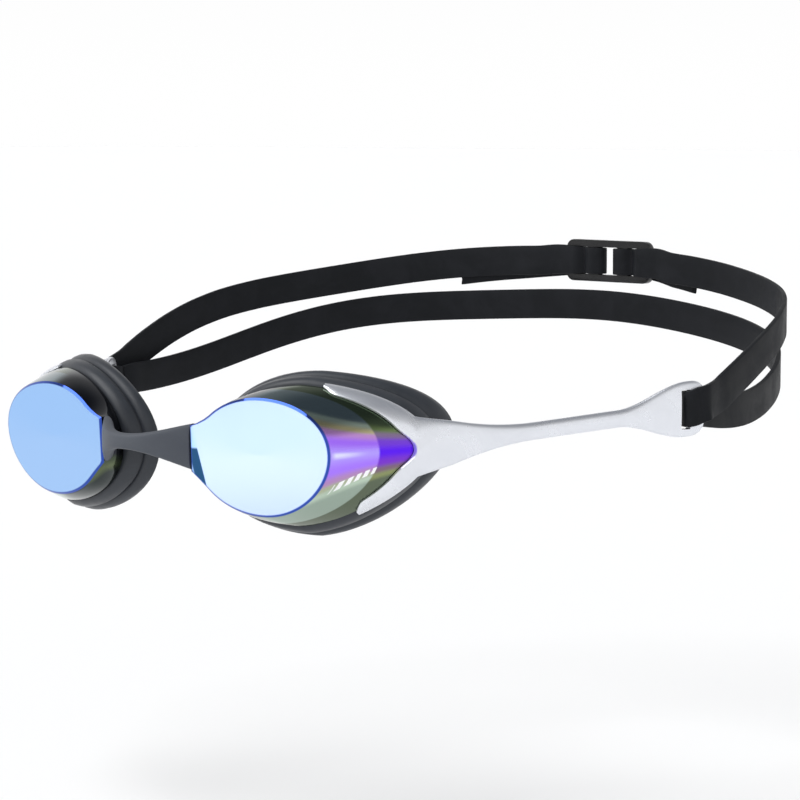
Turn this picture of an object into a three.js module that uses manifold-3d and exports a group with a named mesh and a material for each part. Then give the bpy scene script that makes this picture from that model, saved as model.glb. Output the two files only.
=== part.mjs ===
// Swim goggles: two clear cups with soft gaskets, a nose bridge, two fork arms and a double strap
// with one buckle. Millimetres, +X the wearer's left, -Y the front, +Z up. The origin lies between
// the eyes, in the plane where the gaskets meet the face at the nose.
import * as THREE from "three";
import Module from "manifold-3d";

const wasm = await Module();
wasm.setup();

// Lens cups
const LENS_SPACING = 66; // between the middles of the two flat faces
const FACE_HALF_W = 18.3;
const FACE_HALF_H = 13.4;
const FACE_Y = -13;
const FACE_Z = -2.3;
const FACE_WRAP = 7.9; // degrees the outer end is swept back
const FACE_TILT = 3.4; // degrees the face looks down
const FACE_LIFT = 1.5; // the outer end of the face is raised
const FACE_EDGE = 0.5; // bevel round the flat face
const NECK_REACH = 0.9; // how far the nose end of the face runs past its oval
const NECK_HALF_H = 5.3;
const WALL = 1.5;
const CUP_SHIFT = 4.2; // the rear rim sits this far outboard of the face
const CUP_FLARE_W = 4.4; // the rear rim is this much wider than the face, each side
const CUP_FLARE_H = 2.5;
const CUP_DEPTH_NOSE = 5; // face to rear rim at the nose
const CUP_BEND = 0.0083; // rear rim's curve round the face, per mm
const CUP_LIFT = 2; // the temple end of the rear rim is raised
const NOSE_DROP = 1.2;
const TAPER_TOP = 0.07; // how much the rear rim narrows towards the temple
const TAPER_BOTTOM = 0.2;

// Gaskets
const SEAL_GAP = 0.3;
const SEAL_FLARE_W = 3.6; // the flange is this much wider than the rear rim, each side
const SEAL_FLARE_H = 2.6;
const SEAL_DEPTH_NOSE = 6; // rear rim to face at the nose
const SEAL_DEPTH_TEMPLE = 13;
const SEAL_LIP = 4.6; // width of the soft sealing face
const SEAL_GROOVE = 0.9;
const SEAL_LIFT = 1.9; // the flange's temple end is raised this much more than the cup's

// Nose bridge
const BRIDGE_BOW = 8.2; // the middle stands this far in front of the ends
const BRIDGE_MID_HALF_H = 1.8;
const BRIDGE_THICK = 3;
const BRIDGE_GAP = 0.3;

// Arms
const ARM_LENGTH = 70.2;
const ARM_SPLAY = 29.5; // degrees the arm opens outboard
const ARM_RISE = 0.098; // rise per mm of length
const RIGHT_DROP = 4.5; // the right arm is bent down this far at its end
const ARM_HALF_H = 2;
const ARM_THICK = 2.5;
const ARM_ROOT_FLARE = 5.6; // extra half height where the arm meets the fork
const ARM_ROOT_LENGTH = 28;
const PADDLE_RAIL = 1.85; // left above and below the slot
const PADDLE_START = 48;
const PADDLE_ROUND = 5;
const FORK_TOP = 78; // degrees of the rear rim the upper prong follows
const FORK_BOTTOM = 60;
const FORK_WIDTH = 3.4;
const FORK_THICK = 1.5;
const FORK_GAP = 0.3;

// Strap
const STRAP_W = 8.1;
const STRAP_T = 1.2;
const STRAP_GAP = 0.3;
const END_BAR = 4.2; // length of the bar the strap loops over
const SLOT_PLAY = 0.5; // slot height over strap width, each side
const LOOP_DEPTH = 92; // from the arm ends to the back of the strap
const UPPER_BULGE = 6.5; // how far a band's shoulders stand outside a plain circle
const LOWER_BULGE = 7.1;
const UPPER_WAVE = [31.9, -1.6, 2.9, -0.4, 1.3, -0.3, 0.4, -0.3]; // height of the upper band above the arm ends
const LOWER_CLEAR = 5.9; // room left under the buckle's rail, before the lower band's own waves
const LOWER_WAVE = [-3.1, -2.7, -0.8, -1.6, 0.1, -0.7];
const TAIL_LEFT = 15.5; // free tail past the buckle
const TAIL_RIGHT = 34;
const TAIL_DROP = 1.5;

// Buckle
const BUCKLE_RAIL = 1.4;
const BUCKLE_T = 2;
const BUCKLE_END = 3.9;
const BUCKLE_SIDE_SLOT = 4;
const BUCKLE_BAR = 2.4;
const BUCKLE_WINDOW = 4.4; // open gap left between the two wraps
const BUCKLE_OFFSET = -4.5; // towards the wearer's right

const SILVER = { color: 0xdfe3ea, roughness: 0.35, metalness: 0.3 };
const MIRROR = { color: 0x9fd0f5, roughness: 0.08, metalness: 0.7 };
const SOFT = { color: 0x2e3439, roughness: 0.7, metalness: 0 };
const STRAP = { color: 0x282a2e, roughness: 0.75, metalness: 0 };
const HARD = { color: 0x17181a, roughness: 0.3, metalness: 0 };

const V = (x, y, z) => new THREE.Vector3(x, y, z);
const rad = (deg) => (deg * Math.PI) / 180;
const steps = (n, f) => Array.from({ length: n }, (_, i) => f(i));
const smooth = THREE.MathUtils.smoothstep;

// Closed surface through rings of equal length; its ends are fanned shut, or joined to each other.
function loft(rings, joined = false) {
  const n = rings[0].length;
  const points = rings.flat();
  const faces = [];
  const spans = joined ? rings.length : rings.length - 1;
  for (let i = 0; i < spans; i++)
    for (let j = 0; j < n; j++) {
      const a = i * n + j;
      const b = i * n + ((j + 1) % n);
      const c = ((i + 1) % rings.length) * n + j;
      const d = ((i + 1) % rings.length) * n + ((j + 1) % n);
      faces.push(a, b, d, a, d, c);
    }
  if (!joined)
    [0, rings.length - 1].forEach((r) => {
      const middle = rings[r].reduce((s, p) => s.add(p), V(0, 0, 0)).divideScalar(n);
      const m = points.push(middle) - 1;
      for (let j = 0; j < n; j++) {
        const [p, q] = [r * n + j, r * n + ((j + 1) % n)];
        faces.push(...(r ? [m, p, q] : [m, q, p]));
      }
    });
  const g = new THREE.BufferGeometry().setFromPoints(points);
  let volume = 0;
  for (let i = 0; i < faces.length; i += 3)
    volume += points[faces[i]].dot(points[faces[i + 1]].clone().cross(points[faces[i + 2]]));
  if (volume < 0) faces.reverse();
  return g.setIndex(faces);
}

function solid(g) {
  const vertProperties = new Float32Array(g.getAttribute("position").array);
  const triVerts = new Uint32Array(g.index.array);
  return new wasm.Manifold(new wasm.Mesh({ numProp: 3, vertProperties, triVerts }));
}

function geometry(s) {
  const m = s.getMesh();
  return new THREE.BufferGeometry()
    .setAttribute("position", new THREE.BufferAttribute(new Float32Array(m.vertProperties), 3))
    .setIndex(new THREE.BufferAttribute(new Uint32Array(m.triVerts), 1));
}

// A block whose corners are given by its middle, its half sizes and its three directions.
function block(middle, half, dirs) {
  const corner = (a, b, c) =>
    middle.clone().addScaledVector(dirs[0], a * half[0])
      .addScaledVector(dirs[1], b * half[1])
      .addScaledVector(dirs[2], c * half[2]);
  const ring = (c) => [corner(-1, -1, c), corner(1, -1, c), corner(1, 1, c), corner(-1, 1, c)];
  return loft([ring(-1), ring(1)]);
}

const group = new THREE.Group();

function add(name, g, look) {
  const flat = g.index ? g.toNonIndexed() : g;
  flat.computeVertexNormals();
  const mesh = new THREE.Mesh(flat, new THREE.MeshStandardMaterial(look));
  mesh.name = name;
  group.add(mesh);
}

// The same geometry for the wearer's right side.
function mirrored(g) {
  const m = g.clone().applyMatrix4(new THREE.Matrix4().makeScale(-1, 1, 1));
  const index = Array.from(m.index.array).reverse();
  return m.setIndex(index);
}

// Outline of a left face: 0 degrees points at the temple, 90 up, 180 at the nose.
const acrossFace = V(Math.cos(rad(FACE_WRAP)), Math.sin(rad(FACE_WRAP)), 0);
const faceNormal = V(
  Math.sin(rad(FACE_WRAP)) * Math.cos(rad(FACE_TILT)),
  -Math.cos(rad(FACE_WRAP)) * Math.cos(rad(FACE_TILT)),
  -Math.sin(rad(FACE_TILT)),
);
const upFace = V(0, 0, 0).crossVectors(faceNormal, acrossFace);
const faceMiddle = V(LENS_SPACING / 2, FACE_Y, FACE_Z);

function facePoint(angle, inset, back) {
  const t = rad(angle);
  const neck = smooth(-Math.cos(t), 0.76, 0.9);
  const lift = FACE_LIFT * Math.max(0, Math.cos(t)) ** 2;
  const oval = (FACE_HALF_H - inset) * Math.sin(t) + lift;
  const end = ((NECK_HALF_H - inset) * Math.sin(t)) / 0.44 + 1;
  const a = (FACE_HALF_W - inset) * Math.cos(t);
  const edge = -FACE_HALF_W - NECK_REACH + inset;
  const b = neck * THREE.MathUtils.clamp(end, 1 - NECK_HALF_H, 1 + NECK_HALF_H) + (1 - neck) * oval;
  return faceMiddle.clone()
    .addScaledVector(acrossFace, neck * edge + (1 - neck) * a)
    .addScaledVector(upFace, b)
    .addScaledVector(faceNormal, -back);
}

// Rear rim of the hard cup, and rim of the soft flange behind it.
const cupMiddleX = LENS_SPACING / 2 + CUP_SHIFT;
const cupHalfW = FACE_HALF_W + CUP_FLARE_W;
const cupHalfH = FACE_HALF_H + CUP_FLARE_H;
const cupNoseX = cupMiddleX - cupHalfW;

function cupPoint(angle, inset, back) {
  const t = rad((angle + 360) % 360);
  const taper = t > Math.PI ? TAPER_BOTTOM : TAPER_TOP;
  const egg = 1 - taper * Math.max(0, Math.cos(t));
  const x = cupMiddleX + (cupHalfW - inset) * Math.cos(t);
  const y = FACE_Y + CUP_DEPTH_NOSE + CUP_BEND * (x - cupNoseX) ** 2;
  const lift = (t < Math.PI / 2 || t > 1.5 * Math.PI ? CUP_LIFT : -NOSE_DROP) * Math.cos(t) ** 2;
  const z = FACE_Z + (cupHalfH - inset) * egg * Math.sin(t) + lift;
  return V(x, y + back, z);
}

function sealPoint(angle, inset, back) {
  const t = rad(angle);
  const depth = SEAL_DEPTH_NOSE
    + (SEAL_DEPTH_TEMPLE - SEAL_DEPTH_NOSE) * ((1 + Math.cos(t)) / 2) ** 2;
  const rim = cupPoint(angle, 0, depth);
  const hub = V(cupMiddleX, rim.y, FACE_Z);
  const out = rim.clone().sub(hub);
  const nose = (1 - Math.cos(t)) / 2;
  out.x *= 1 + (SEAL_FLARE_W * nose * 1.6 - inset) / cupHalfW;
  out.z *= 1 + (SEAL_FLARE_H - inset) / cupHalfH;
  return hub.add(out).add(V(0, back, SEAL_LIFT * Math.max(0, Math.cos(t)) ** 2));
}

const AROUND = 40;
const turn = (j) => (360 * j) / AROUND;
const ringOf = (f, inset, back) => steps(AROUND, (j) => f(turn(j), inset, back));

function lensGeometry() {
  return loft([
    ringOf(facePoint, FACE_EDGE, 0),
    ringOf(facePoint, 0, FACE_EDGE),
    ringOf(cupPoint, 0, 0),
    ringOf(cupPoint, WALL, 0),
    ringOf(facePoint, WALL, WALL + 0.4),
  ]);
}

// Soft ring from the rear rim to the face: neck, groove, flange and rolled sealing lip.
function gasketGeometry() {
  const between = (share, bulge) => steps(AROUND, (j) =>
    cupPoint(turn(j), -bulge, SEAL_GAP).lerp(sealPoint(turn(j), -bulge, 0), share));
  return loft([
    ringOf(cupPoint, -0.1, SEAL_GAP),
    between(0.3, 0.3),
    between(0.42, -SEAL_GROOVE),
    between(0.55, 0.6),
    between(0.85, 0.5),
    ringOf(sealPoint, 0, 0),
    ringOf(sealPoint, SEAL_LIP * 0.5, 0.9),
    ringOf(sealPoint, SEAL_LIP, 0.2),
    ringOf(sealPoint, SEAL_LIP, -1.6),
    between(0.25, -1.9),
    ringOf(cupPoint, 1.9, SEAL_GAP),
  ], true);
}

// The bridge's ends stop just short of the two necks.
function bridgeGeometry() {
  const top = facePoint(180, 0, 0);
  const half = top.x - BRIDGE_GAP;
  const section = (u) => {
    const x = half * u;
    const out = Math.abs(u);
    const y = top.y - BRIDGE_BOW * (1 - out ** 2) + 0.05;
    const h = BRIDGE_MID_HALF_H + (NECK_HALF_H - BRIDGE_MID_HALF_H - 0.1) * out ** 2.2;
    const z = -1 * out ** 2;
    const slope = Math.atan2(2 * BRIDGE_BOW * u, half) * (1 - out ** 8);
    return steps(16, (j) => {
      const t = (2 * Math.PI * j) / 16;
      const square = (v) => Math.sign(v) * Math.abs(v) ** 0.55;
      const d = (BRIDGE_THICK / 2) * (1 + square(Math.cos(t)));
      return V(x - d * Math.sin(slope), y + d * Math.cos(slope), z + h * square(Math.sin(t)));
    });
  };
  return loft(steps(25, (i) => section(-1 + i / 12)));
}

// The arm's own axis runs back and outboard from the temple end of the cup.
const armRoot = cupPoint(0, 0, 0).add(V(0.9, 0, 0));
const armAlong = V(Math.sin(rad(ARM_SPLAY)), Math.cos(rad(ARM_SPLAY)), 0);
const armOut = V(Math.cos(rad(ARM_SPLAY)), -Math.sin(rad(ARM_SPLAY)), 0);
const UP = V(0, 0, 1);
const armHeight = (s) => 0.2 + ARM_RISE * s;
const paddleHalfH = STRAP_W / 2 + SLOT_PLAY + PADDLE_RAIL;

function armPoint(s, out, up, drop = 0) {
  const z = armHeight(s) - armRoot.z + up - drop * (s / ARM_LENGTH) ** 2;
  return armRoot.clone().addScaledVector(armAlong, s).addScaledVector(armOut, out)
    .add(V(0, 0, z));
}

function armBar(drop) {
  const stations = [1, 4, 8, 12, 16, 21, 27, 36, 46, 51, 55, 59, 63, 66, 68.3, 70.3, 71.8, 72.8, 73.2];
  const section = (station) => {
    const s = (station * ARM_LENGTH) / 73.3;
    const root = Math.max(0, 1 - s / ARM_ROOT_LENGTH);
    const end = ARM_LENGTH - PADDLE_ROUND;
    const flare = (paddleHalfH - ARM_HALF_H) * smooth(s, PADDLE_START, end);
    const round = Math.max(0, (s - end) / PADDLE_ROUND);
    const h = (ARM_HALF_H + ARM_ROOT_FLARE * root ** 2 + flare) * (1 - round ** 3) ** (1 / 3);
    const t = (ARM_THICK / 2) * (1 - 0.3 * round ** 2);
    const power = 0.55 + 0.25 * smooth(s, 20, 30) - 0.2 * smooth(s, PADDLE_START, end);
    const shape = (v) => Math.sign(v) * Math.abs(v) ** power;
    return steps(16, (j) => {
      const a = (2 * Math.PI * j) / 16;
      return armPoint(s, t * shape(Math.cos(a)), h * shape(Math.sin(a)), drop);
    });
  };
  return loft(stations.map(section));
}

// Prongs that lie on the outside of the cup, along its rear rim.
function armFork() {
  const section = (angle) => {
    const rim = cupPoint(angle, 0, 0);
    const along = cupPoint(angle + 1, 0, 0).sub(cupPoint(angle - 1, 0, 0)).normalize();
    const wall = rim.clone().sub(facePoint(angle, 0, 0)).normalize();
    const out = wall.clone().cross(along).normalize();
    const across = along.clone().cross(out).normalize();
    const tip = Math.abs(angle) / (angle > 0 ? FORK_TOP : FORK_BOTTOM);
    const slim = 0.3 + 0.7 * smooth(Math.abs(angle), 0, 30); // the fork is thin at its root's front
    const front = slim * FORK_WIDTH * (1 - 0.35 * tip) * Math.sqrt(Math.max(0.02, 1 - tip ** 10));
    const rear = 1.2 + 2.2 * (1 - tip) ** 2;
    const thick = FORK_THICK * (1 - 0.3 * tip);
    const at = (w, n) => rim.clone().addScaledVector(across, w).addScaledVector(out, FORK_GAP + n);
    return [at(-front, 0), at(-front, thick * 0.7), at(-front * 0.6, thick), at(rear * 0.3, thick),
      at(rear, thick * 0.7), at(rear, 0.35)];
  };
  return loft(steps(31, (i) => section(-FORK_BOTTOM + ((FORK_TOP + FORK_BOTTOM) * i) / 30)));
}

const slotMiddle = ARM_LENGTH - END_BAR - STRAP_GAP - STRAP_T / 2;
function armGeometry(drop) {
  const half = [STRAP_T / 2 + 2 * STRAP_GAP, 2 * ARM_THICK, STRAP_W / 2 + SLOT_PLAY];
  const middle = armPoint(slotMiddle - STRAP_GAP, 0, 0, drop);
  const slot = solid(block(middle, half, [armAlong, armOut, UP]));
  return geometry(solid(armBar(drop)).add(solid(armFork())).subtract(slot));
}

// Strap. A band is a row of stations; each gives a middle, an outward and a width direction.
const barMiddle = armPoint(ARM_LENGTH - END_BAR / 2, 0, 0);
const barDrop = RIGHT_DROP * (1 - END_BAR / 2 / ARM_LENGTH) ** 2;
const barSide = ARM_THICK / 2 + STRAP_GAP + STRAP_T / 2;
const loopR = (LOOP_DEPTH ** 2 + barMiddle.x ** 2) / (2 * LOOP_DEPTH);
const loopY = barMiddle.y + LOOP_DEPTH - loopR;
const firstAngle = Math.atan2(barMiddle.y - loopY, barMiddle.x);

const UPPER = { wave: UPPER_WAVE, bulge: UPPER_BULGE };
const lowerRise = UPPER_WAVE[0] - STRAP_W - SLOT_PLAY - BUCKLE_RAIL - LOWER_CLEAR;
const LOWER = { wave: [lowerRise, ...LOWER_WAVE], bulge: LOWER_BULGE };

// A point of a band; u runs from 0 at the left arm to 1 at the right arm.
function loopPoint(u, out, band) {
  const q = Math.PI * u;
  const near = Math.min(q, Math.PI - q);
  const side = out * (1 - smooth(near, 0.35, 0.85));
  const r = loopR + side + band.bulge * Math.sin(2 * near) ** 2;
  const a = firstAngle + u * (Math.PI - 2 * firstAngle);
  const z = band.wave.reduce((sum, c, k) => sum + c * Math.sin((k + 1) * q),
    barMiddle.z - barDrop * u);
  return V(r * Math.cos(a), loopY + r * Math.sin(a), z);
}

// A flat band of one width and thickness along a path; out is its thickness direction.
function ribbon(path, outAt, width = () => STRAP_W) {
  return loft(path.map((p, i) => {
    const along = path[Math.min(i + 1, path.length - 1)].clone()
      .sub(path[Math.max(i - 1, 0)]).normalize();
    const out = outAt(p, along);
    const up = along.clone().cross(out).normalize();
    const thick = up.clone().cross(along).normalize();
    const at = (w, t) => p.clone().addScaledVector(up, (w * width(i)) / 2)
      .addScaledVector(thick, (t * STRAP_T) / 2);
    return [at(-1, -1), at(1, -1), at(1, 1), at(-1, 1)];
  }));
}

const flatOut = (p, along) => V(along.y, -along.x, 0).normalize();
const LOOP_END = 0.035; // share of the loop taken by the piece round an arm's end bar
const SPLIT = 0.35 / 290; // gap between two strap pieces, as a share of the loop

function loopPieceGeometry(side) {
  const s = slotMiddle;
  const bend = barSide - 0.9;
  const drop = side > 0 ? 0 : RIGHT_DROP;
  const own = (s, out) => armPoint(s, out, 0, drop).multiply(V(side, 1, 1));
  const corner = (out) => [
    own(ARM_LENGTH - 0.5, out * barSide),
    own(s + 1.3, out * barSide),
    own(s + 0.4, out * (bend + 0.5)),
    own(s, out * bend),
  ];
  const share = (u) => (side > 0 ? u : 1 - u);
  const leg = (out, band) => [
    loopPoint(share(LOOP_END - SPLIT), out * barSide, band),
    loopPoint(share(LOOP_END * 0.6), out * barSide, band),
  ];
  const path = [
    ...leg(1, UPPER), ...corner(1),
    ...corner(-1).reverse(), ...leg(-1, LOWER).reverse(),
  ];
  return ribbon(path, flatOut);
}

const buckleHalfL = BUCKLE_WINDOW / 2 + STRAP_T + STRAP_GAP + BUCKLE_BAR + BUCKLE_SIDE_SLOT
  + BUCKLE_END;
const barIn = BUCKLE_WINDOW / 2 + STRAP_T + STRAP_GAP; // inner edge of an inner bar
const bandSide = BUCKLE_T / 2 + STRAP_GAP + STRAP_T / 2; // a strand's middle from the buckle's
const buckleAt = 0.5 + BUCKLE_OFFSET / (loopR * (Math.PI - 2 * firstAngle));
const buckleMiddle = loopPoint(buckleAt, 0, UPPER);
const buckleAlong = loopPoint(buckleAt - 0.01, 0, UPPER)
  .sub(loopPoint(buckleAt + 0.01, 0, UPPER)).normalize();
const buckleOut = V(-buckleAlong.y, buckleAlong.x, 0).normalize();
const buckleUp = buckleAlong.clone().cross(buckleOut).multiplyScalar(-1);

const bucklePoint = (s, out, up) => buckleMiddle.clone().addScaledVector(buckleAlong, s)
  .addScaledVector(buckleOut, out).addScaledVector(buckleUp, up);

// Half of the upper band: along the loop, over the inner bar, through the window and out as a tail.
function upperGeometry(side) {
  const share = (s) => buckleAt - (side * s) / (loopR * (Math.PI - 2 * firstAngle));
  const startAt = side > 0 ? LOOP_END : 1 - LOOP_END;
  const joinAt = share(buckleHalfL + 12);
  const band = steps(25, (i) =>
    loopPoint(startAt + ((joinAt - startAt) * i) / 24, barSide, UPPER));
  const at = (s, out, drop = 0) => bucklePoint(side * s, out, -drop);
  const tail = side > 0 ? TAIL_LEFT : TAIL_RIGHT;
  const drape = (s) => {
    const p = loopPoint(share(s), 0, UPPER);
    return p.addScaledVector(buckleOut, 1.9).add(V(0, 0, (-TAIL_DROP * (s - buckleHalfL)) / tail));
  };
  const path = [
    ...band,
    at(buckleHalfL + 3, -bandSide), at(barIn + BUCKLE_BAR + BUCKLE_SIDE_SLOT, -bandSide),
    at(barIn + BUCKLE_BAR + 2, -bandSide + 0.5), at(barIn + BUCKLE_BAR, -bandSide),
    at(barIn, -bandSide), at(barIn - 0.8, -bandSide + 0.6),
    at(barIn - 0.95, 0), at(barIn - 0.8, bandSide - 0.6), at(barIn, bandSide),
    at(barIn + BUCKLE_BAR, bandSide), at(buckleHalfL + 1, bandSide, 0.3),
    ...[0.45, 0.63, 0.81, 1].map((k) => drape(buckleHalfL + k * tail)),
  ];
  return ribbon(path, (p, along) => {
    const flat = V(along.y, -along.x, 0).normalize();
    return side > 0 ? flat : flat.multiplyScalar(-1);
  });
}

function lowerGeometry() {
  const path = steps(61, (i) =>
    loopPoint(LOOP_END + ((1 - 2 * LOOP_END) * i) / 60, -barSide, LOWER));
  return ribbon(path, flatOut);
}

function buckleGeometry() {
  const dirs = [buckleAlong, buckleOut, buckleUp];
  const halfH = STRAP_W / 2 + SLOT_PLAY + BUCKLE_RAIL;
  const corner = 2.2;
  const ring = (out, inset) => steps(32, (j) => {
    const a = (2 * Math.PI * (j + 0.5)) / 32;
    const x = Math.cos(a) * corner + Math.sign(Math.cos(a)) * (buckleHalfL - corner - inset);
    const z = Math.sin(a) * corner + Math.sign(Math.sin(a)) * (halfH - corner - inset);
    return bucklePoint(x, out, z);
  });
  const half = BUCKLE_T / 2;
  let body = solid(loft([ring(-half, 0.4), ring(0.4 - half, 0), ring(half - 0.4, 0), ring(half, 0.4)]));
  const cut = (from, to) => {
    const size = [(to - from) / 2, BUCKLE_T, STRAP_W / 2 + SLOT_PLAY];
    body = body.subtract(solid(block(bucklePoint((from + to) / 2, 0, 0), size, dirs)));
  };
  cut(-barIn, barIn);
  cut(barIn + BUCKLE_BAR, buckleHalfL - BUCKLE_END);
  cut(BUCKLE_END - buckleHalfL, -barIn - BUCKLE_BAR);
  return geometry(body);
}

for (const [side, turned] of [["left", (g) => g], ["right", mirrored]]) {
  add("lens_" + side, turned(lensGeometry()), MIRROR);
  add("gasket_" + side, turned(gasketGeometry()), SOFT);
  add("arm_" + side, turned(armGeometry(side === "left" ? 0 : RIGHT_DROP)), SILVER);
}
add("strap_loop_left", loopPieceGeometry(1), STRAP);
add("strap_loop_right", loopPieceGeometry(-1), STRAP);
add("nose_bridge", bridgeGeometry(), SOFT);
add("strap_upper_left", upperGeometry(1), STRAP);
add("strap_upper_right", upperGeometry(-1), STRAP);
add("strap_lower", lowerGeometry(), STRAP);
add("buckle", buckleGeometry(), HARD);

export default group;
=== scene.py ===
"""Swim goggles: the finished look of every piece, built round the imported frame."""

import math

import bmesh
import bpy
from mathutils import Matrix, Vector


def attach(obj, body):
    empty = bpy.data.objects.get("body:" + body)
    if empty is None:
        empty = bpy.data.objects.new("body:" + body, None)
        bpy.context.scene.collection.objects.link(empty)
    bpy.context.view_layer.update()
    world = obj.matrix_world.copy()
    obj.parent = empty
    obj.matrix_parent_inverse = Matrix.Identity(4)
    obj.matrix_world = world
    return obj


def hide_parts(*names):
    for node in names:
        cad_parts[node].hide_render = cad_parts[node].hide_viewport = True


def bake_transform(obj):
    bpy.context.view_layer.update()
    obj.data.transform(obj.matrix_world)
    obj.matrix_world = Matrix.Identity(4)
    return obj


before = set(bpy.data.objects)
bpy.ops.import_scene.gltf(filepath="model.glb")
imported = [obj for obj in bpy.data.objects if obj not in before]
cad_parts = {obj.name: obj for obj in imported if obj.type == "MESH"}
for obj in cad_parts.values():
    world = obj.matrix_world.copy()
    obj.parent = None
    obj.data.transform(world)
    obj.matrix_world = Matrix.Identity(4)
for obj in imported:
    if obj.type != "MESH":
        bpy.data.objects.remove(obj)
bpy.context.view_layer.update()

MM = 0.001
UP = Vector((0, 0, 1))

# ---------------------------------------------------------------- sizes, in mm
LENS_SPACING = 66
FACE_HALF_W, FACE_HALF_H = 18.3, 13.4
FACE_Y, FACE_Z = -13, -2.3
FACE_WRAP, FACE_TILT, FACE_LIFT = math.radians(7.9), math.radians(3.4), 1.5
NECK_REACH, NECK_HALF_H = 0.9, 5.3
CUP_SHIFT, CUP_FLARE_W, CUP_FLARE_H = 4.2, 4.4, 2.5
CUP_DEPTH_NOSE, CUP_BEND, CUP_LIFT, NOSE_DROP = 5, 0.0083, 2, 1.2
TAPER_TOP, TAPER_BOTTOM = 0.07, 0.2
SEAL_FLARE_W, SEAL_FLARE_H, SEAL_LIFT = 3.6, 2.6, 1.9
SEAL_DEPTH_NOSE, SEAL_DEPTH_TEMPLE = 6, 13
BRIDGE_BOW, BRIDGE_MID_HALF_H, BRIDGE_THICK = 8.2, 1.8, 3
ARM_LENGTH, ARM_SPLAY, ARM_RISE, RIGHT_DROP = 70.2, math.radians(29.5), 0.098, 4.5
ARM_HALF_H, ARM_THICK, ROOT_FLARE, ROOT_LENGTH = 2, 2.5, 5.6, 28
PADDLE_HALF_H, PADDLE_START, PADDLE_ROUND, END_BAR = 6.4, 48, 5, 4.2
FORK_TOP, FORK_BOTTOM, FORK_WIDTH, FORK_THICK = 78, 60, 3.4, 1.5
STRAP_W, STRAP_T, STRAP_GAP = 8.1, 1.2, 0.3
LOOP_DEPTH = 92
UPPER = ([31.9, -1.6, 2.9, -0.4, 1.3, -0.3, 0.4, -0.3], 6.5)
LOWER = ([16, -3.1, -2.7, -0.8, -1.6, 0.1, -0.7], 7.1)
TAIL_LEFT, TAIL_RIGHT, TAIL_DROP, TAIL_SAG = 15.5, 34, 1.5, 0.5
BUCKLE_RAIL, BUCKLE_T, BUCKLE_END, BUCKLE_SLOT = 1.4, 2, 3.9, 4
BUCKLE_BAR, BUCKLE_WINDOW, BUCKLE_OFFSET = 2.4, 4.4, -4.5


def smooth(v, low, high):
    t = min(1, max(0, (v - low) / (high - low)))
    return t * t * (3 - 2 * t)


def mix(a, b, t):
    return a + (b - a) * t


# ---------------------------------------------------------------- cup curves
ACROSS = Vector((math.cos(FACE_WRAP), math.sin(FACE_WRAP), 0))
FACE_NORMAL = Vector((
    math.sin(FACE_WRAP) * math.cos(FACE_TILT),
    -math.cos(FACE_WRAP) * math.cos(FACE_TILT),
    -math.sin(FACE_TILT),
))
FACE_UP = FACE_NORMAL.cross(ACROSS)
FACE_MIDDLE = Vector((LENS_SPACING / 2, FACE_Y, FACE_Z))


def face_point(angle, inset=0.0, back=0.0):
    """Outline of the left face; 0 degrees points at the temple, 90 up, 180 at the nose."""
    t = math.radians(angle)
    neck = smooth(-math.cos(t), 0.76, 0.9)
    lift = FACE_LIFT * max(0, math.cos(t)) ** 2
    oval = (FACE_HALF_H - inset) * math.sin(t) + lift
    end = (NECK_HALF_H - inset) * math.sin(t) / 0.44 + 1
    b = mix(oval, min(1 + NECK_HALF_H, max(1 - NECK_HALF_H, end)), neck)
    a = mix((FACE_HALF_W - inset) * math.cos(t), -FACE_HALF_W - NECK_REACH + inset, neck)
    return FACE_MIDDLE + ACROSS * a + FACE_UP * b - FACE_NORMAL * back


CUP_MIDDLE_X = LENS_SPACING / 2 + CUP_SHIFT
CUP_HALF_W = FACE_HALF_W + CUP_FLARE_W
CUP_HALF_H = FACE_HALF_H + CUP_FLARE_H


def cup_point(angle, inset=0.0, back=0.0):
    """Rear rim of the hard cup."""
    t = math.radians(angle % 360)
    taper = TAPER_BOTTOM if t > math.pi else TAPER_TOP
    egg = 1 - taper * max(0, math.cos(t))
    lift = (CUP_LIFT if math.cos(t) > 0 else -NOSE_DROP) * math.cos(t) ** 2
    x = CUP_MIDDLE_X + (CUP_HALF_W - inset) * math.cos(t)
    y = FACE_Y + CUP_DEPTH_NOSE + CUP_BEND * (x - CUP_MIDDLE_X + CUP_HALF_W) ** 2
    z = FACE_Z + (CUP_HALF_H - inset) * egg * math.sin(t) + lift
    return Vector((x, y + back, z))


def seal_point(angle, inset=0.0, back=0.0):
    """Rim of the soft flange that meets the face."""
    c = math.cos(math.radians(angle))
    depth = mix(SEAL_DEPTH_NOSE, SEAL_DEPTH_TEMPLE, ((1 + c) / 2) ** 2)
    rim = cup_point(angle, 0, depth)
    wide = 1 + (SEAL_FLARE_W * 0.8 * (1 - c) - inset) / CUP_HALF_W
    tall = 1 + (SEAL_FLARE_H - inset) / CUP_HALF_H
    return Vector((
        CUP_MIDDLE_X + (rim.x - CUP_MIDDLE_X) * wide,
        rim.y + back,
        FACE_Z + (rim.z - FACE_Z) * tall + SEAL_LIFT * max(0, c) ** 2,
    ))


# ---------------------------------------------------------------- arm and loop curves
ARM_ROOT = cup_point(0) + Vector((0.9, 0, 0))
ARM_ALONG = Vector((math.sin(ARM_SPLAY), math.cos(ARM_SPLAY), 0))
ARM_OUT = Vector((math.cos(ARM_SPLAY), -math.sin(ARM_SPLAY), 0))


def arm_point(s, out=0.0, up=0.0, drop=0.0):
    p = ARM_ROOT + ARM_ALONG * s + ARM_OUT * out
    p.z = 0.2 + ARM_RISE * s + up - drop * (s / ARM_LENGTH) ** 2
    return p


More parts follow.
